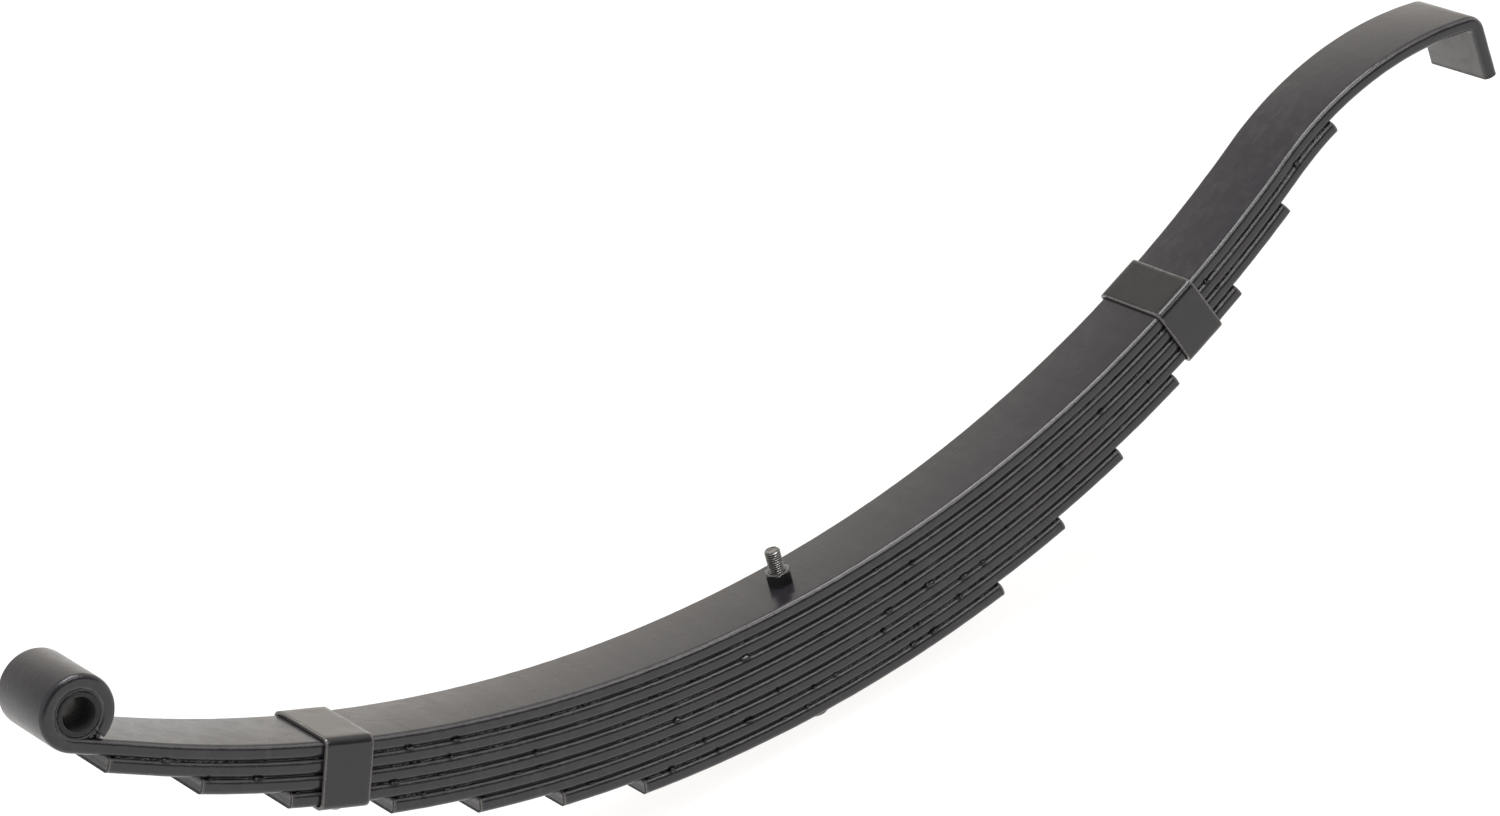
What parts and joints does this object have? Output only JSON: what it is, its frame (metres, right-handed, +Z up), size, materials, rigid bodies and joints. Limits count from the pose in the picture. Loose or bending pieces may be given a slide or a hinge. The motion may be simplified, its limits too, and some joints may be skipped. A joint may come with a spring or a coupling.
{
  "type": "leaf spring",
  "caption": "Multi-leaf slipper spring: main leaf with a rolled, bushed eye and a hooked sliding end, graduated leaves, two strap clips and a centre bolt.",
  "frame": {"origin": "on the centre bolt's axis, on the underside of the shortest leaf, where the axle's spring seat bears", "axes": "+X along the spring from the eye to the hooked slipper end, +Y across the leaves along the eye's axis, +Z up from the shortest leaf towards the main leaf"},
  "size_m": [1.2851, 0.0766, 0.3304],
  "materials": {
    "leaf_paint": "semi-gloss charcoal paint over hot-rolled spring steel",
    "fixing_paint": "semi-gloss charcoal paint",
    "bush_steel": "dark oiled steel",
    "bolt_steel": "bare rolled thread above the nut, painted below"
  },
  "bodies": {
    "root": {"main_leaf": "leaf_paint", "leaf_2": "leaf_paint", "leaf_3": "leaf_paint", "leaf_4": "leaf_paint", "leaf_5": "leaf_paint", "leaf_6": "leaf_paint", "leaf_7": "leaf_paint", "leaf_8": "leaf_paint", "eye_bush": "bush_steel", "centre_bolt": "bolt_steel", "centre_nut": "fixing_paint", "eye_end_clip": "fixing_paint", "slipper_end_clip": "fixing_paint", "eye_end_clip_rivets": "fixing_paint", "slipper_end_clip_rivets": "fixing_paint"}
  },
  "joints": []
}
